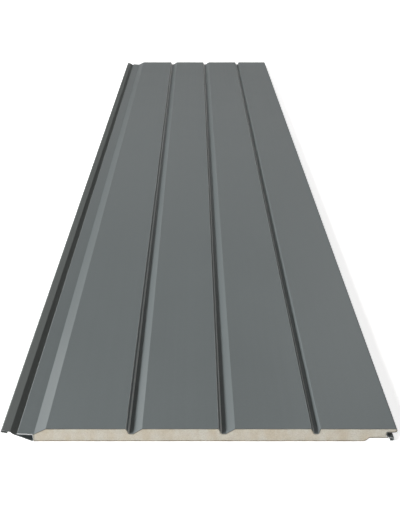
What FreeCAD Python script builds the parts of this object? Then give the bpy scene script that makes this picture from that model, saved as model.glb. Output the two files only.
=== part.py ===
import FreeCAD, Part
import math
import os

# Insulated metal siding panel lying on its back, in millimetres.
# X runs across the panel from the nailing flange to the nose, Y runs along it and Z points up,
# with the back on Z = 0 and the origin under the middle of the panel.

# Driving dimensions of the whole panel
PANEL_LENGTH = 1800.0
COVER_WIDTH = 383.0
PANEL_THICKNESS = 16.0
SHEET_THICKNESS = 0.5
FOIL_THICKNESS = 0.2
BEND_RADIUS = 0.7

# Grooves that divide the face into equal fields
FIELD_COUNT = 4
GROOVE_DEPTH = 6.2
GROOVE_WALL_RUN = 2.8
GROOVE_FLOOR_WIDTH = 4.5
GROOVE_SLOPE_RUN = 9.3
LAST_GROOVE_WALL_RUN = 1.6

# Tongue edge: the bevel down from the face and the folded tongue beyond its foot
BEVEL_RUN = 13.0
BEVEL_DROP = 6.8
TONGUE_RISE = 1.2
TONGUE_FOLD_GAP = 0.3

# Nose edge: the slot that takes the next panel's tongue, and the hook below it
SLOT_DEPTH = 10.4
SLOT_HEIGHT = 4.5
NOSE_RADIUS = 1.9
NOSE_UNDERCUT = 0.4
TONGUE_END_CLEARANCE = 0.5
TONGUE_TOP_CLEARANCE = 0.5
HOOK_REACH = 8.4
HOOK_LEG_RUN = 3.0
HOOK_CURL_HEIGHT = 4.0
HOOK_CURL_RETURN = 2.2
HOOK_CLEARANCE = 0.1
CORE_UNDER_HOOK = 1.8

# Nailing flange, which springs up from the back beside the tongue
FLANGE_REACH = 34.0
FLANGE_WEB_RISE = 8.9
FLANGE_JOGGLE_RUN = 3.1
FLANGE_JOGGLE_RISE = 3.0
FLANGE_LIP_RUN = 10.0
FLANGE_LIP_RISE = 2.4
FLANGE_HEM_HEIGHT = 3.0
FLANGE_HEM_RETURN = 7.4

# Rebate in the back, where the next panel's flange lies
REBATE_DEPTH = 4.3
REBATE_STEP_RUN = 4.5
REBATE_CLEARANCE = 1.5
REBATE_BEND_RADIUS = 2.0


def length(vector):
    return math.hypot(vector[0], vector[1])


def unit(start, end):
    """Direction from one section point to another."""
    run = (end[0] - start[0], end[1] - start[1])
    return (run[0] / length(run), run[1] / length(run))


def beyond(point, direction, distance):
    """Section point at a distance from another one."""
    return (point[0] + direction[0] * distance, point[1] + direction[1] * distance)


def to_right(direction):
    """Direction a quarter turn clockwise from a walking direction."""
    return (direction[1], -direction[0])


def vector(point):
    """Section point (x, z) at the near end of the panel."""
    return FreeCAD.Vector(point[0], -PANEL_LENGTH / 2, point[1])


def bent_side(corners, offset):
    """Edges along one side of a bent strip.

    Each corner is (x, z, radius). The straight runs between corners are joined by tangent arcs,
    and the offset is measured to the right of the walking direction.
    """
    edges = []
    first = unit(corners[0], corners[1])
    last = beyond(corners[0], to_right(first), offset)
    for before, corner, after in zip(corners, corners[1:], corners[2:]):
        way_in = unit(before, corner)
        way_out = unit(corner, after)
        turn = math.atan2(
            way_in[0] * way_out[1] - way_in[1] * way_out[0],
            way_in[0] * way_out[0] + way_in[1] * way_out[1],
        )
        side = math.copysign(1.0, turn)
        tangent = corner[2] * math.tan(abs(turn) / 2)
        arc_start = beyond(corner, way_in, -tangent)
        arc_end = beyond(corner, way_out, tangent)
        centre = beyond(arc_start, to_right(way_in), -side * corner[2])
        radius = corner[2] + side * offset
        start = beyond(arc_start, to_right(way_in), offset)
        middle = beyond(centre, unit(centre, corner), radius)
        end = beyond(arc_end, to_right(way_out), offset)
        if length((start[0] - last[0], start[1] - last[1])) > 1e-6:
            edges.append(Part.makeLine(vector(last), vector(start)))
        edges.append(Part.Arc(vector(start), vector(middle), vector(end)).toShape())
        last = end
    final = beyond(corners[-1], to_right(unit(corners[-2], corners[-1])), offset)
    edges.append(Part.makeLine(vector(last), vector(final)))
    return edges


def ends(edges):
    """First and last section points of a row of edges."""
    first = edges[0].firstVertex(True).Point
    last = edges[-1].lastVertex(True).Point
    return first, last


def prism(*sides):
    """Solid along the whole panel from the sides of a section, closed with straight edges."""
    edges = []
    for index, side in enumerate(sides):
        edges.extend(side)
        here = ends(side)[1]
        following = ends(sides[(index + 1) % len(sides)])[0]
        if here.distanceToPoint(following) > 1e-6:
            edges.append(Part.makeLine(here, following))
    outline = Part.Wire(Part.sortEdges(edges)[0])
    return Part.Face(outline).extrude(FreeCAD.Vector(0, PANEL_LENGTH, 0))


def turned(edges):
    """The same edges walked the other way."""
    other = []
    for edge in reversed(edges):
        points = [edge.valueAt(edge.FirstParameter), edge.valueAt(edge.LastParameter)]
        if edge.Curve.TypeId == "Part::GeomLine":
            other.append(Part.makeLine(points[1], points[0]))
        else:
            middle = edge.valueAt((edge.FirstParameter + edge.LastParameter) / 2)
            other.append(Part.Arc(points[1], middle, points[0]).toShape())
    return other


os.makedirs("parts", exist_ok=True)

# Shared levels and places; laid panels leave a gap at each joint as wide as a groove's wall and floor
face_z = PANEL_THICKNESS
foot_z = face_z - BEVEL_DROP
inner_bend = BEND_RADIUS
outer_bend = BEND_RADIUS + SHEET_THICKNESS
joint_gap = GROOVE_WALL_RUN + GROOVE_FLOOR_WIDTH
nose_reach = COVER_WIDTH - joint_gap
foot_x = (FLANGE_REACH - nose_reach) / 2
nose_x = foot_x + nose_reach
slot_x = nose_x - SLOT_DEPTH
wall_x = foot_x - outer_bend
core_left = wall_x + SHEET_THICKNESS
core_right = slot_x + CORE_UNDER_HOOK
pitch = COVER_WIDTH / FIELD_COUNT

# Tongue: the painted top slopes up to a flat fold and comes back under itself to the core's end wall
tongue_length = joint_gap + SLOT_DEPTH - TONGUE_END_CLEARANCE
tongue_thickness = 2 * SHEET_THICKNESS + TONGUE_FOLD_GAP
fold_top = (foot_x - tongue_length, foot_z + TONGUE_RISE)
ledge_way = unit(fold_top, (foot_x, foot_z))
fold_low = beyond(fold_top, to_right(ledge_way), tongue_thickness)
under_run = (wall_x - fold_low[0]) / ledge_way[0]
wall_top = beyond(fold_low, ledge_way, under_run)
tongue = [
    (wall_top[0], wall_top[1], inner_bend),
    (fold_low[0], fold_low[1], tongue_thickness / 2),
    (fold_top[0], fold_top[1], tongue_thickness / 2),
    (foot_x, foot_z, inner_bend),
    (foot_x + BEVEL_RUN, face_z, outer_bend),
]

# Nailing flange: web, joggle and hemmed lip, built outward from the root at the foot of the end wall
web_run = FLANGE_REACH - FLANGE_LIP_RUN - FLANGE_JOGGLE_RUN - outer_bend
root_turn = math.pi / 2 + math.atan2(FLANGE_WEB_RISE, web_run)
root_z = FOIL_THICKNESS + outer_bend - inner_bend * math.tan(root_turn / 2)
joggle_foot = (wall_x - web_run, root_z + FLANGE_WEB_RISE)
joggle_top = (joggle_foot[0] - FLANGE_JOGGLE_RUN, joggle_foot[1] + FLANGE_JOGGLE_RISE)
lip_way = unit((-FLANGE_LIP_RUN, FLANGE_LIP_RISE), (0, 0))
hem_radius = FLANGE_HEM_HEIGHT / 2
hem_run = FLANGE_LIP_RUN - hem_radius * (1 - lip_way[0] - lip_way[1])
lip_edge = beyond(joggle_top, lip_way, -hem_run / lip_way[0])
hem_edge = beyond(lip_edge, to_right(lip_way), FLANGE_HEM_HEIGHT)
hem_end = beyond(hem_edge, lip_way, FLANGE_HEM_RETURN)
flange = [
    (hem_end[0], hem_end[1], 0),
    (hem_edge[0], hem_edge[1], hem_radius),
    (lip_edge[0], lip_edge[1], hem_radius),
    (joggle_top[0], joggle_top[1], outer_bend),
    (joggle_foot[0], joggle_foot[1], inner_bend),
    (wall_x, root_z, inner_bend),
]

# Grooves, one pitch apart from the foot of the bevel; the last one has two steep walls
grooves = []
for index in range(1, FIELD_COUNT):
    is_last = index == FIELD_COUNT - 1
    groove_x = foot_x + index * pitch
    floor_left = groove_x + GROOVE_WALL_RUN
    floor_right = floor_left + GROOVE_FLOOR_WIDTH
    far_run = LAST_GROOVE_WALL_RUN if is_last else GROOVE_SLOPE_RUN
    grooves.append((groove_x, face_z, outer_bend))
    grooves.append((floor_left, face_z - GROOVE_DEPTH, inner_bend))
    grooves.append((floor_right, face_z - GROOVE_DEPTH, inner_bend))
    grooves.append((floor_right + far_run, face_z, outer_bend))

# Nose, slot and hook
slot_top = fold_top[1] + TONGUE_TOP_CLEARANCE
slot_floor = slot_top - SLOT_HEIGHT
hook_low = FOIL_THICKNESS + SHEET_THICKNESS + HOOK_CLEARANCE
hook_top = hook_low + HOOK_CURL_HEIGHT
hook_x = slot_x + HOOK_REACH
curl_radius = HOOK_CURL_HEIGHT / 2
nose = [
    (nose_x, face_z, NOSE_RADIUS),
    (nose_x, slot_top + NOSE_UNDERCUT, NOSE_RADIUS),
    (slot_x, slot_top, inner_bend),
]
hook = [
    (slot_x, slot_floor, inner_bend),
    (slot_x + HOOK_LEG_RUN, hook_top, inner_bend),
    (hook_x, hook_top, curl_radius),
    (hook_x, hook_low, curl_radius),
    (hook_x - curl_radius - HOOK_CURL_RETURN, hook_low, 0),
]

# Face sheet: one strip of constant thickness, its painted side on the left of the walking direction
sheet_corners = flange + tongue + grooves + nose + hook
painted_side = bent_side(sheet_corners, 0)
inner_side = bent_side(sheet_corners, SHEET_THICKNESS)
face_sheet = prism(painted_side, turned(inner_side))
face_sheet.exportStep("parts/face_sheet.step")

# Backing foil: flat under the core, stepping up into the rebate
rebate_x = foot_x + COVER_WIDTH - FLANGE_REACH - REBATE_CLEARANCE
rebate_z = REBATE_DEPTH
foil_corners = [
    (core_left, 0, 0),
    (rebate_x - REBATE_STEP_RUN, 0, REBATE_BEND_RADIUS),
    (rebate_x, rebate_z, REBATE_BEND_RADIUS),
    (core_right, rebate_z, 0),
]
foil_back = bent_side(foil_corners, 0)
foil_top = bent_side(foil_corners, -FOIL_THICKNESS)
backing_foil = prism(foil_back, turned(foil_top))
backing_foil.exportStep("parts/backing_foil.step")

# Foam core: fills the sheet from the end wall beside the tongue to the leg of the hook, down to the foil
ledge_shift = SHEET_THICKNESS * to_right(ledge_way)[0]
core_start_x = core_left - ledge_shift
core_start_z = foot_z + (foot_x - core_start_x) * TONGUE_RISE / tongue_length
core_corners = [(core_start_x, core_start_z, 0)] + tongue[3:] + grooves + nose
leg_way = unit(hook[0], hook[1])
leg_run = (core_right - slot_x - SHEET_THICKNESS * to_right(leg_way)[0]) / leg_way[0]
core_end = beyond(hook[0], leg_way, leg_run)
core_corners = core_corners + [hook[0], (core_end[0], core_end[1], 0)]
core_top = bent_side(core_corners, SHEET_THICKNESS)
foam_core = prism(core_top, turned(foil_top))
foam_core.exportStep("parts/foam_core.step")
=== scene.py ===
import math

import bmesh
import bpy
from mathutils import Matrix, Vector, kdtree, noise


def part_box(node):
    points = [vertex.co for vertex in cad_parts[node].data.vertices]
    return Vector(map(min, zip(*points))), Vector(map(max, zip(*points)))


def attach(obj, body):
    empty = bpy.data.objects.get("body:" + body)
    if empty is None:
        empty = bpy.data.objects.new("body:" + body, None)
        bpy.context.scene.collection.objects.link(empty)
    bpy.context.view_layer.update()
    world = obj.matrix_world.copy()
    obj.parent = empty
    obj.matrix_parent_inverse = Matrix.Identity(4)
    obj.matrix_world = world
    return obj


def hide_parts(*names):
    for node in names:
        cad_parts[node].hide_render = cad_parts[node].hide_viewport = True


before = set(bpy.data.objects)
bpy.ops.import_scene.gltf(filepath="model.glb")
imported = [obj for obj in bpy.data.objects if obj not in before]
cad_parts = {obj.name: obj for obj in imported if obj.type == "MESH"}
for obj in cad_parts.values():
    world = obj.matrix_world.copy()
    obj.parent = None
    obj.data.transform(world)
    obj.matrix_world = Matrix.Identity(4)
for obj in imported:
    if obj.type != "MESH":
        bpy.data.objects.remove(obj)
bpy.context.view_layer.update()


# Face sheet
# One strip of galvanised steel, coil-coated grey, then roll-formed into flange, tongue, face, nose and hook.
# Its ends were cut with the foam. The solid has the true section, so it stays and gets its finish here.

core_low, core_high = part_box("foam_core")
sheet_low, sheet_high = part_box("face_sheet")
hem_width = 0.002
hem_rim_width = 0.0014
flange_width = 0.0163
fold_gap = 0.005
nose_depth = 0.012
groove_depth = 0.0062
foot_height = 0.0026

# How far the surface has to face a way, as that part of its unit normal.
bend_from, bend_to = 0.10, 0.88
outward_limit = -0.3
upward_limit = 0.4
downward_limit = -0.5
end_limit = 0.9

# The coat's painted highlights, sheen and patterns. From and to give the part of a noise's range that is
# used.
highlight_from, highlight_to = 0.3, 0.65
least_highlight = 0.65
flange_warmth_share = 0.35
scuff_roughness = 0.85
shade_from, shade_to = 0.3, 0.7
satin_smooth, satin_rough = 0.33, 0.43
coat_drift_size = 0.16
roller_streak_width = 0.006
roller_streak_length = 0.7
roller_streak_share = 0.4
coat_grain_size = 0.0022
coat_grain_share = 0.35
orange_peel_size = 0.004
orange_peel_height = 0.00001
oil_can_width = 0.09
oil_can_length = 0.40
oil_can_height = 0.0005
cut_mark_width = 0.0006


def colour(hex_value):
    """Linear RGBA of an sRGB hex value."""
    parts = [int(hex_value[i:i + 2], 16) / 255 for i in (1, 3, 5)]
    return [c / 12.92 if c <= 0.04045 else ((c + 0.055) / 1.055) ** 2.4 for c in parts] + [1.0]


def add(tree, kind, settings=None, inputs=None):
    """Adds a node with its settings. An input goes by its name, or by its number where names repeat, and
    takes a value or another node's output."""
    made = tree.nodes.new(kind)
    for name, value in (settings or {}).items():
        setattr(made, name, value)
    for name, value in (inputs or {}).items():
        if isinstance(value, bpy.types.NodeSocket):
            tree.links.new(value, made.inputs[name])
        else:
            made.inputs[name].default_value = value
    return made


def new_material(name):
    """A material with its node tree and its Principled shader."""
    made = bpy.data.materials.new(name)
    made.use_nodes = True
    return made, made.node_tree, made.node_tree.nodes["Principled BSDF"]


# Coil-coated polyester paint in satin grey: an even, slightly cool grey with a soft sheen, faint roller
# streaks along the strip and a gentle waviness of the thin sheet. Thin paler lines at the tight bends of the
# grooves and on the outer folds are painted highlights. The coat is scuffed dull on the flange, whose
# underside shows the pale reverse coat. The cut ends show bare zinc and steel, painted near black as shade
# where the foam backs the edge.
coated_steel, tree, shader = new_material("coil_coated_steel_satin_grey")
texture_place = add(tree, "ShaderNodeTexCoord")
place = texture_place.outputs["Object"]
surface_way = texture_place.outputs["Normal"]
split_place = add(tree, "ShaderNodeSeparateXYZ", inputs={0: place})
across = split_place.outputs["X"]
up = split_place.outputs["Z"]
facing_x, facing_y, facing_z = add(tree, "ShaderNodeSeparateXYZ", inputs={0: surface_way}).outputs

# The coat's shade: slow drifts, streaks along the strip and a fine grain, drawn coarse enough to show.
drift = add(tree, "ShaderNodeTexNoise",
            inputs={"Vector": place, "Scale": 1 / coat_drift_size, "Detail": 3.0})
streak_place = add(tree, "ShaderNodeMapping", inputs={
    "Vector": place,
    "Scale": (1 / roller_streak_width, 1 / roller_streak_length, 1 / roller_streak_width),
})
streaks = add(tree, "ShaderNodeTexNoise",
              inputs={"Vector": streak_place.outputs[0], "Scale": 1.0, "Detail": 2.0})
grain = add(tree, "ShaderNodeTexNoise",
            inputs={"Vector": place, "Scale": 1 / coat_grain_size, "Detail": 1.0})
drift_and_streaks = add(tree, "ShaderNodeMix", {"data_type": "FLOAT"},
                        {0: roller_streak_share, 2: drift.outputs[0], 3: streaks.outputs[0]})
coat_shade = add(tree, "ShaderNodeMix", {"data_type": "FLOAT"},
                 {0: coat_grain_share, 2: drift_and_streaks.outputs[0], 3: grain.outputs[0]})
paint = add(tree, "ShaderNodeMix", {"data_type": "RGBA"},
            {0: coat_shade.outputs[0], 6: colour("#656b6c"), 7: colour("#757c7d")})

# The groove walls that face the nose get painted highlights: unevenly paler lines at their shoulder,
# and paler still at their foot.
highlight_unevenness = add(tree, "ShaderNodeMapRange",
           inputs={0: streaks.outputs[0], 1: highlight_from, 2: highlight_to, 3: least_highlight, 4: 1.0})
face_from, face_to = core_low[0], sheet_high[0] - nose_depth
on_face = add(tree, "ShaderNodeMath", {"operation": "COMPARE"},
              {0: across, 1: (face_from + face_to) / 2, 2: (face_to - face_from) / 2})
on_bend = add(tree, "ShaderNodeMath", {"operation": "COMPARE"},
              {0: facing_x, 1: (bend_from + bend_to) / 2, 2: (bend_to - bend_from) / 2})
on_wall = add(tree, "ShaderNodeMath", {"operation": "GREATER_THAN"}, {0: facing_x, 1: bend_from})
low_down = add(tree, "ShaderNodeMath", {"operation": "LESS_THAN"},
               {0: up, 1: sheet_high[2] - groove_depth + foot_height})
wall_foot = add(tree, "ShaderNodeMath", {"operation": "MULTIPLY"},
                {0: on_wall.outputs[0], 1: low_down.outputs[0]})
foot_or_bend = add(tree, "ShaderNodeMath", {"operation": "MAXIMUM"},
                   {0: wall_foot.outputs[0], 1: on_bend.outputs[0]})
groove_bend = add(tree, "ShaderNodeMath", {"operation": "MULTIPLY"},
                  {0: foot_or_bend.outputs[0], 1: on_face.outputs[0]})
# Painted highlight tones: paler at the shoulder, paler still at the foot.
painted_highlight_tone = add(tree, "ShaderNodeMix", {"data_type": "RGBA"},
                {0: low_down.outputs[0], 6: colour("#9da2a2"), 7: colour("#e2e4e2")})
groove_highlight = add(tree, "ShaderNodeMath", {"operation": "MULTIPLY"},
                {0: groove_bend.outputs[0], 1: highlight_unevenness.outputs[0]})
paint_with_groove_highlights = add(tree, "ShaderNodeMix", {"data_type": "RGBA"},
                    {0: groove_highlight.outputs[0], 6: paint.outputs[2], 7: painted_highlight_tone.outputs[2]})

# The flange's coat, scuffed dull by the rollers and by handling, and a little warmer in tone.
on_lip_and_web = add(tree, "ShaderNodeMath", {"operation": "LESS_THAN"},
                     {0: across, 1: sheet_low[0] + flange_width})
warmer_flange = add(tree, "ShaderNodeMath", {"operation": "MULTIPLY"},
              {0: on_lip_and_web.outputs[0], 1: flange_warmth_share})
warmer_flange_paint = add(tree, "ShaderNodeMix", {"data_type": "RGBA"},
                    {0: warmer_flange.outputs[0], 6: paint_with_groove_highlights.outputs[2], 7: colour("#767670")})

# Painted highlights on the folds at the outer edges of the tongue and of the lip, paler on their upper side.
outward = add(tree, "ShaderNodeMath", {"operation": "LESS_THAN"}, {0: facing_x, 1: outward_limit})
hem_rim = add(tree, "ShaderNodeMath", {"operation": "LESS_THAN"},
              {0: across, 1: sheet_low[0] + hem_rim_width})
outward_or_rim = add(tree, "ShaderNodeMath", {"operation": "MAXIMUM"},
                     {0: outward.outputs[0], 1: hem_rim.outputs[0]})
clear_of_core = add(tree, "ShaderNodeMath", {"operation": "LESS_THAN"},
                    {0: across, 1: core_low[0] - fold_gap})
upward = add(tree, "ShaderNodeMath", {"operation": "GREATER_THAN"}, {0: facing_z, 1: upward_limit})
fold_side = add(tree, "ShaderNodeMath", {"operation": "MULTIPLY"},
                {0: outward_or_rim.outputs[0], 1: upward.outputs[0]})
outer_fold = add(tree, "ShaderNodeMath", {"operation": "MULTIPLY"},
                 {0: fold_side.outputs[0], 1: clear_of_core.outputs[0]})
fold_highlight = add(tree, "ShaderNodeMath", {"operation": "MULTIPLY"},
                {0: outer_fold.outputs[0], 1: highlight_unevenness.outputs[0]})
paint_with_fold_highlights = add(tree, "ShaderNodeMix", {"data_type": "RGBA"},
                   {0: fold_highlight.outputs[0], 6: warmer_flange_paint.outputs[2], 7: colour("#a6abaa")})

# The flange's underside, which is the strip's reverse.
beside_core = add(tree, "ShaderNodeMath", {"operation": "LESS_THAN"}, {0: across, 1: core_low[0]})
under = add(tree, "ShaderNodeMath", {"operation": "LESS_THAN"}, {0: facing_z, 1: downward_limit})
inside_hem = add(tree, "ShaderNodeMath", {"operation": "GREATER_THAN"},
                 {0: across, 1: sheet_low[0] + hem_width})
under_outward = add(tree, "ShaderNodeMath", {"operation": "MULTIPLY"},
                    {0: under.outputs[0], 1: outward.outputs[0]})
on_flange = add(tree, "ShaderNodeMath", {"operation": "MULTIPLY"},
                {0: beside_core.outputs[0], 1: inside_hem.outputs[0]})
reverse_side = add(tree, "ShaderNodeMath", {"operation": "MULTIPLY"},
                   {0: under_outward.outputs[0], 1: on_flange.outputs[0]})
coats = add(tree, "ShaderNodeMix", {"data_type": "RGBA"},
            {0: reverse_side.outputs[0], 6: paint_with_fold_highlights.outputs[2], 7: colour("#a3a29b")})

# The cut ends, bright at the flange and the hook, and painted near black as shade over the foam.
end_facing = add(tree, "ShaderNodeMath", {"operation": "ABSOLUTE"}, {0: facing_y})
cut_edge = add(tree, "ShaderNodeMath", {"operation": "GREATER_THAN"},
               {0: end_facing.outputs[0], 1: end_limit})
over_core = add(tree, "ShaderNodeMath", {"operation": "GREATER_THAN"}, {0: across, 1: core_low[0]})
upper_half = add(tree, "ShaderNodeMath", {"operation": "GREATER_THAN"}, {0: up, 1: sheet_high[2] / 2})
backed_edge = add(tree, "ShaderNodeMath", {"operation": "MULTIPLY"},
                  {0: over_core.outputs[0], 1: upper_half.outputs[0]})
cut_marks = add(tree, "ShaderNodeTexNoise",
                inputs={"Vector": place, "Scale": 1 / cut_mark_width, "Detail": 2.0})
bare_edge = add(tree, "ShaderNodeMix", {"data_type": "RGBA"},
                {0: cut_marks.outputs[0], 6: colour("#9a9c9c"), 7: colour("#c6c8c8")})
# Painted shade: the edge over the foam is near black.
shade_dark_edge = add(tree, "ShaderNodeMix", {"data_type": "RGBA"},
                {0: cut_marks.outputs[0], 6: colour("#2f302e"), 7: colour("#4a4b48")})
edges = add(tree, "ShaderNodeMix", {"data_type": "RGBA"},
            {0: backed_edge.outputs[0], 6: bare_edge.outputs[2], 7: shade_dark_edge.outputs[2]})
sheet_colour = add(tree, "ShaderNodeMix", {"data_type": "RGBA"},
                   {0: cut_edge.outputs[0], 6: coats.outputs[2], 7: edges.outputs[2]})
bare = add(tree, "ShaderNodeMath", {"operation": "GREATER_THAN"},
           {0: cut_edge.outputs[0], 1: backed_edge.outputs[0]})

# The gloss, the coat's orange peel and the sheet's waviness.
satin = add(tree, "ShaderNodeMapRange",
            inputs={0: coat_shade.outputs[0], 1: shade_from, 2: shade_to, 3: satin_smooth, 4: satin_rough})
gloss = add(tree, "ShaderNodeMix", {"data_type": "FLOAT"},
            {0: on_lip_and_web.outputs[0], 2: satin.outputs[0], 3: scuff_roughness})
peel = add(tree, "ShaderNodeTexNoise",
           inputs={"Vector": place, "Scale": 1 / orange_peel_size, "Detail": 1.0})
peel_bump = add(tree, "ShaderNodeBump", inputs={"Height": peel.outputs[0], "Distance": orange_peel_height})
oil_can_place = add(tree, "ShaderNodeMapping", inputs={
    "Vector": place,
    "Scale": (1 / oil_can_width, 1 / oil_can_length, 1 / oil_can_width),
})
oil_cans = add(tree, "ShaderNodeTexNoise",
               inputs={"Vector": oil_can_place.outputs[0], "Scale": 1.0, "Detail": 0.0})
waviness = add(tree, "ShaderNodeBump", inputs={
    "Height": oil_cans.outputs[0],
    "Distance": oil_can_height,
    "Normal": peel_bump.outputs[0],
})
tree.links.new(sheet_colour.outputs[2], shader.inputs["Base Color"])
tree.links.new(bare.outputs[0], shader.inputs["Metallic"])
tree.links.new(gloss.outputs[0], shader.inputs["Roughness"])
tree.links.new(waviness.outputs[0], shader.inputs["Normal"])
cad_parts["face_sheet"].material_slots[0].material = coated_steel


# Foam core
# Rigid polyurethane foam, blown between the sheet and the backing so that it bonds to both as it sets.
# The saw leaves its ends finely pitted, a little behind the steel's edge. Only those ends are worked here.

merge_distance = 1e-6
cut_tolerance = 1e-7
saw_setback = 0.0003
cell_grid = 0.0007
cell_size = 0.0014
cell_depth = 0.0003
cell_steepness = 1.5
saw_wave_size = 0.006
saw_wave_depth = 0.0002
skin_depth = 0.0012


def grid_cut(bm, faces, axis, first, last, step):
    """Cuts faces across an axis at every step, going on each time with what lies beyond the cut."""
    done = []
    rest = faces
    direction = Vector((axis == 0, axis == 1, axis == 2))
    for count in range(1, int((last - first) / step) + 1):
        cut_at = first + count * step
        edges = list({edge for face in rest for edge in face.edges})
        verts = list({vert for face in rest for vert in face.verts})
        cut = bmesh.ops.bisect_plane(bm, geom=rest + edges + verts, dist=cut_tolerance,
                                     plane_co=direction * cut_at, plane_no=direction)
        parts = [part for part in cut["geom"] if isinstance(part, bmesh.types.BMFace)]
        rest = [face for face in parts if face.calc_center_median()[axis] > cut_at]
        done += [face for face in parts if face.calc_center_median()[axis] <= cut_at]
    return done + rest


bm = bmesh.new()
bm.from_mesh(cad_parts["foam_core"].data)
bmesh.ops.remove_doubles(bm, verts=bm.verts, dist=merge_distance)
bm.normal_update()
bmesh.ops.dissolve_faces(bm, faces=[face for face in bm.faces if abs(face.normal.y) > end_limit])
for end in [face for face in bm.faces if abs(face.normal.y) > end_limit]:
    rows = grid_cut(bm, [end], 2, core_low[2], core_high[2], cell_grid)
    for face in grid_cut(bm, rows, 0, core_low[0], core_high[0], cell_grid):
        face.smooth = True

rim = [vert for vert in bm.verts if any(not face.smooth for face in vert.link_faces)]
rim_tree = kdtree.KDTree(len(rim))
for index, vert in enumerate(rim):
    rim_tree.insert(vert.co, index)
rim_tree.balance()
# The mark falls off from the rim. It carries the denser skin and also painted shade where the foam meets the
# facings.
skin_layer = bm.verts.layers.float.new("skin")
for vert in bm.verts:
    skin_gap = rim_tree.find(vert.co)[2]
    vert[skin_layer] = max(0.0, 1.0 - skin_gap / skin_depth)
for vert in bm.verts:
    inward = -1.0 if vert.co.y > 0 else 1.0
    cell_gap = noise.voronoi(vert.co / cell_size)[0][0]
    pit = cell_depth * max(0.0, 1.0 - cell_steepness * cell_gap)
    wave = saw_wave_depth * (0.5 + 0.5 * noise.noise(vert.co / saw_wave_size))
    vert.co.y += inward * (saw_setback + pit + wave)
core_mesh = bpy.data.meshes.new("sawn_foam_core")
bm.to_mesh(core_mesh)
bm.free()
sawn_core = bpy.data.objects.new("sawn_foam_core", core_mesh)
bpy.context.collection.objects.link(sawn_core)

# Sawn rigid foam: matt and pale beige, mottled where the foam rose in streams, with painted shade in the cut
# cells and a thin darker band against the facings, partly denser skin and partly painted shade, browner in
# some places than in others. The cells are drawn coarser than real ones, so that they show.
foam_stream_width = 0.012
foam_stream_height = 0.030
stream_from, stream_to = 0.35, 0.65
foam_cell_size = 0.0013
pit_from, pit_to = 0.1, 0.6
cell_shade_share = 0.45
skin_patch_size = 0.02
patch_from, patch_to = 0.4, 0.62
least_skin = 0.3
foam, tree, shader = new_material("rigid_foam_sawn_beige")
place = add(tree, "ShaderNodeTexCoord").outputs["Object"]
stream_place = add(tree, "ShaderNodeMapping", inputs={
    "Vector": place,
    "Scale": (1 / foam_stream_width, 1 / foam_stream_width, 1 / foam_stream_height),
})
streams = add(tree, "ShaderNodeTexNoise",
              inputs={"Vector": stream_place.outputs[0], "Scale": 1.0, "Detail": 3.0})
stream_shade = add(tree, "ShaderNodeMapRange",
                   inputs={0: streams.outputs[0], 1: stream_from, 2: stream_to})
mottle = add(tree, "ShaderNodeMix", {"data_type": "RGBA"},
             {0: stream_shade.outputs[0], 6: colour("#b9b1a1"), 7: colour("#c0beb5")})
cells = add(tree, "ShaderNodeTexVoronoi", inputs={"Vector": place, "Scale": 1 / foam_cell_size})
cell_shade = add(tree, "ShaderNodeMapRange",
                 inputs={0: cells.outputs["Distance"], 1: pit_from, 2: pit_to, 3: cell_shade_share, 4: 0.0})
# Painted shade in the cut cells.
foam_with_cell_shade = add(tree, "ShaderNodeMix", {"data_type": "RGBA"},
             {0: cell_shade.outputs[0], 6: mottle.outputs[2], 7: colour("#9d9688")})
skin_and_shade_mark = add(tree, "ShaderNodeAttribute", {"attribute_name": "skin"}).outputs["Fac"]
patches = add(tree, "ShaderNodeTexNoise",
              inputs={"Vector": place, "Scale": 1 / skin_patch_size, "Detail": 2.0})
patch_shade = add(tree, "ShaderNodeMapRange",
                  inputs={0: patches.outputs[0], 1: patch_from, 2: patch_to, 3: least_skin, 4: 1.0})
skin_and_shade = add(tree, "ShaderNodeMath", {"operation": "MULTIPLY"},
                 {0: skin_and_shade_mark, 1: patch_shade.outputs[0]})
# Darker near the rim: partly denser skin, partly painted shade.
body = add(tree, "ShaderNodeMix", {"data_type": "RGBA"},
           {0: skin_and_shade.outputs[0], 6: foam_with_cell_shade.outputs[2], 7: colour("#776d5b")})
grain = add(tree, "ShaderNodeTexNoise", inputs={"Vector": place, "Scale": 1 / cell_size, "Detail": 3.0})
grain_bump = add(tree, "ShaderNodeBump", inputs={"Height": grain.outputs[0], "Distance": cell_depth})
tree.links.new(body.outputs[2], shader.inputs["Base Color"])
tree.links.new(grain_bump.outputs[0], shader.inputs["Normal"])
shader.inputs["Roughness"].default_value = 0.95
shader.inputs["Specular IOR Level"].default_value = 0.2
core_mesh.materials.append(foam)
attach(sawn_core, "root")
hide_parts("foam_core")


# Backing foil
# Thin aluminium foil laminated to kraft paper, which the foam was poured onto. It covers the whole back and
# steps up at the rebate. Its embossing and creases are too shallow for the solid, so they are relief here.

emboss_size = 0.0026
emboss_height = 0.00012
crease_size = 0.07
crease_height = 0.0006
tarnish_from, tarnish_to = 0.3, 0.7
foil_smooth, foil_rough = 0.34, 0.5

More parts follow.
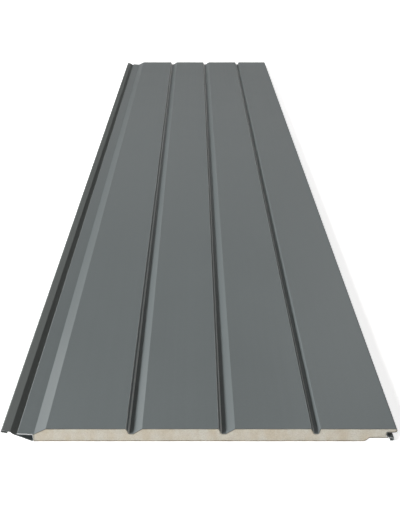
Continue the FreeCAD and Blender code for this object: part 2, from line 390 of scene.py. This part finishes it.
# Embossed aluminium foil: dull silver with a pebbled emboss, long soft creases, and brown paper at its edge.
foil, tree, shader = new_material("aluminium_foil_embossed_dull")
texture_place = add(tree, "ShaderNodeTexCoord")
place = texture_place.outputs["Object"]
end_way = add(tree, "ShaderNodeSeparateXYZ", inputs={0: texture_place.outputs["Normal"]}).outputs["Y"]
end_facing = add(tree, "ShaderNodeMath", {"operation": "ABSOLUTE"}, {0: end_way})
paper_edge = add(tree, "ShaderNodeMath", {"operation": "GREATER_THAN"},
                 {0: end_facing.outputs[0], 1: end_limit})
tarnish = add(tree, "ShaderNodeTexNoise", inputs={"Vector": place, "Scale": 1 / crease_size, "Detail": 4.0})
silver = add(tree, "ShaderNodeMix", {"data_type": "RGBA"},
             {0: tarnish.outputs[0], 6: colour("#a7a9aa"), 7: colour("#c4c6c6")})
facing_colour = add(tree, "ShaderNodeMix", {"data_type": "RGBA"},
                    {0: paper_edge.outputs[0], 6: silver.outputs[2], 7: colour("#5f594e")})
metal_part = add(tree, "ShaderNodeMath", {"operation": "SUBTRACT"}, {0: 1.0, 1: paper_edge.outputs[0]})
dullness = add(tree, "ShaderNodeMapRange",
               inputs={0: tarnish.outputs[0], 1: tarnish_from, 2: tarnish_to, 3: foil_smooth, 4: foil_rough})
pebbles = add(tree, "ShaderNodeTexVoronoi", {"feature": "SMOOTH_F1"},
              {"Vector": place, "Scale": 1 / emboss_size})
emboss = add(tree, "ShaderNodeBump",
             inputs={"Height": pebbles.outputs["Distance"], "Distance": emboss_height})
creases = add(tree, "ShaderNodeBump", inputs={
    "Height": tarnish.outputs[0],
    "Distance": crease_height,
    "Normal": emboss.outputs[0],
})
tree.links.new(facing_colour.outputs[2], shader.inputs["Base Color"])
tree.links.new(metal_part.outputs[0], shader.inputs["Metallic"])
tree.links.new(dullness.outputs[0], shader.inputs["Roughness"])
tree.links.new(creases.outputs[0], shader.inputs["Normal"])
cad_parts["backing_foil"].material_slots[0].material = foil


# Floor
# A plain white studio sheet, wide enough to fill the view. The camera and reflections see it a little lit
# from within, more so away from the panel, so that it stays white and still takes the panel's shadow.

floor_half_width = 8.0
near_glow, near_reach = 0.72, 0.9
far_glow, far_reach = 1.0, 3.0
bm = bmesh.new()
bmesh.ops.create_grid(bm, x_segments=1, y_segments=1, size=floor_half_width)
floor_mesh = bpy.data.meshes.new("floor")
bm.to_mesh(floor_mesh)
bm.free()
floor = bpy.data.objects.new("floor", floor_mesh)
bpy.context.collection.objects.link(floor)
studio_sheet, tree, shader = new_material("studio_sheet_white")
place = add(tree, "ShaderNodeTexCoord").outputs["Object"]
from_middle = add(tree, "ShaderNodeVectorMath", {"operation": "LENGTH"}, {0: place})
sheet_glow = add(tree, "ShaderNodeMapRange", inputs={
    0: from_middle.outputs["Value"],
    1: near_reach,
    2: far_reach,
    3: near_glow,
    4: far_glow,
})
path = add(tree, "ShaderNodeLightPath").outputs
seen = add(tree, "ShaderNodeMath", {"operation": "MAXIMUM"},
           {0: path["Is Camera Ray"], 1: path["Is Glossy Ray"]})
seen_through = add(tree, "ShaderNodeMath", {"operation": "MAXIMUM"},
                   {0: seen.outputs[0], 1: path["Is Transmission Ray"]})
glow = add(tree, "ShaderNodeMath", {"operation": "MULTIPLY"},
           {0: seen_through.outputs[0], 1: sheet_glow.outputs[0]})
tree.links.new(glow.outputs[0], shader.inputs["Emission Strength"])
shader.inputs["Emission Color"].default_value = colour("#ffffff")
shader.inputs["Base Color"].default_value = colour("#fafafa")
shader.inputs["Roughness"].default_value = 0.9
floor_mesh.materials.append(studio_sheet)


# Light
# Two large soft boxes at the left give an even grey, with the groove walls in shade, and small ones light
# the ends, the bevel and the far half. Lamps whose glare would show in a groove or a low view have none.

def soft_box(name, where, aim, width, height, power, glare=True):
    """A rectangular lamp aimed at a point; without glare no highlight of it shows."""
    lamp = bpy.data.lights.new(name, "AREA")
    lamp.shape = "RECTANGLE"
    lamp.size = width
    lamp.size_y = height
    lamp.energy = power
    stand = bpy.data.objects.new(name, lamp)
    stand.location = where
    stand.rotation_euler = (Vector(aim) - Vector(where)).to_track_quat("-Z", "Y").to_euler()
    stand.visible_glossy = glare
    bpy.context.collection.objects.link(stand)


soft_box("soft_box_left", where=(-3.2, -0.9, 2.4), aim=(0.0, -2.2, 0.0),
         width=1.6, height=0.9, power=102.0, glare=False)
soft_box("soft_box_near_left", where=(-3.0, -2.9, 1.7), aim=(0.0, -0.9, 0.0),
         width=1.4, height=0.9, power=146.0, glare=False)
soft_box("soft_box_near_right", where=(1.2, -3.2, 0.8), aim=(0.1, -0.9, 0.0),
         width=1.0, height=0.4, power=13.0)
soft_box("soft_box_low_left", where=(-1.0, 0.2, 0.35), aim=(-0.16, -0.85, 0.0),
         width=0.4, height=0.3, power=0.9)
soft_box("soft_box_above", where=(-0.2, 1.0, 2.0), aim=(0.0, 0.8, 0.0),
         width=1.2, height=1.2, power=5.6, glare=False)
soft_box("soft_box_back_right", where=(1.0, 2.4, 2.0), aim=(0.0, -0.6, 0.0),
         width=0.8, height=0.6, power=3.2)
soft_box("soft_box_back", where=(0.25, 3.2, 1.1), aim=(0.0, 0.0, 0.0),
         width=2.2, height=1.0, power=3.2)
soft_box("soft_box_far_end", where=(0.3, 3.0, 0.4), aim=(0.0, 0.9, 0.0),
         width=1.0, height=0.4, power=22.0, glare=False)

# The room is white at its horizon and dim above it.
horizon_top, dim_from = 0.02, 0.15
horizon_light, dim_light = 1.0, 0.03
room = bpy.data.worlds.new("room")
room.use_nodes = True
tree = room.node_tree
ray_way = add(tree, "ShaderNodeTexCoord").outputs["Generated"]
ray_height = add(tree, "ShaderNodeSeparateXYZ", inputs={0: ray_way}).outputs["Z"]
room_light = add(tree, "ShaderNodeMapRange",
                 inputs={0: ray_height, 1: horizon_top, 2: dim_from, 3: horizon_light, 4: dim_light})
path = add(tree, "ShaderNodeLightPath").outputs
seen = add(tree, "ShaderNodeMath", {"operation": "MAXIMUM"},
           {0: path["Is Camera Ray"], 1: path["Is Glossy Ray"]})
room_tone = add(tree, "ShaderNodeMix", {"data_type": "RGBA"},
                {0: seen.outputs[0], 6: colour("#fff0d8"), 7: colour("#ffffff")})
background = tree.nodes["Background"]
tree.links.new(room_tone.outputs[2], background.inputs["Color"])
tree.links.new(room_light.outputs[0], background.inputs["Strength"])
bpy.context.scene.world = room
bpy.context.scene.view_settings.view_transform = "Standard"


# Camera
# Stands half a metre above the floor before the cut end and looks down the length of the panel.

image_height = 520
focal_length_in_pixels = 830
framing_shift_in_pixels = 5
camera_pitch = 25.18
camera_side, camera_back, camera_height = -0.004, -1.5997, 0.5371
lens = bpy.data.cameras.new("camera")
lens.sensor_width = 36.0
lens.lens = lens.sensor_width * focal_length_in_pixels / image_height
lens.shift_x = framing_shift_in_pixels / image_height
camera = bpy.data.objects.new("camera", lens)
camera.location = (camera_side, camera_back, camera_height)
camera.rotation_euler = (math.radians(90 - camera_pitch), 0.0, 0.0)
bpy.context.collection.objects.link(camera)
bpy.context.scene.camera = camera
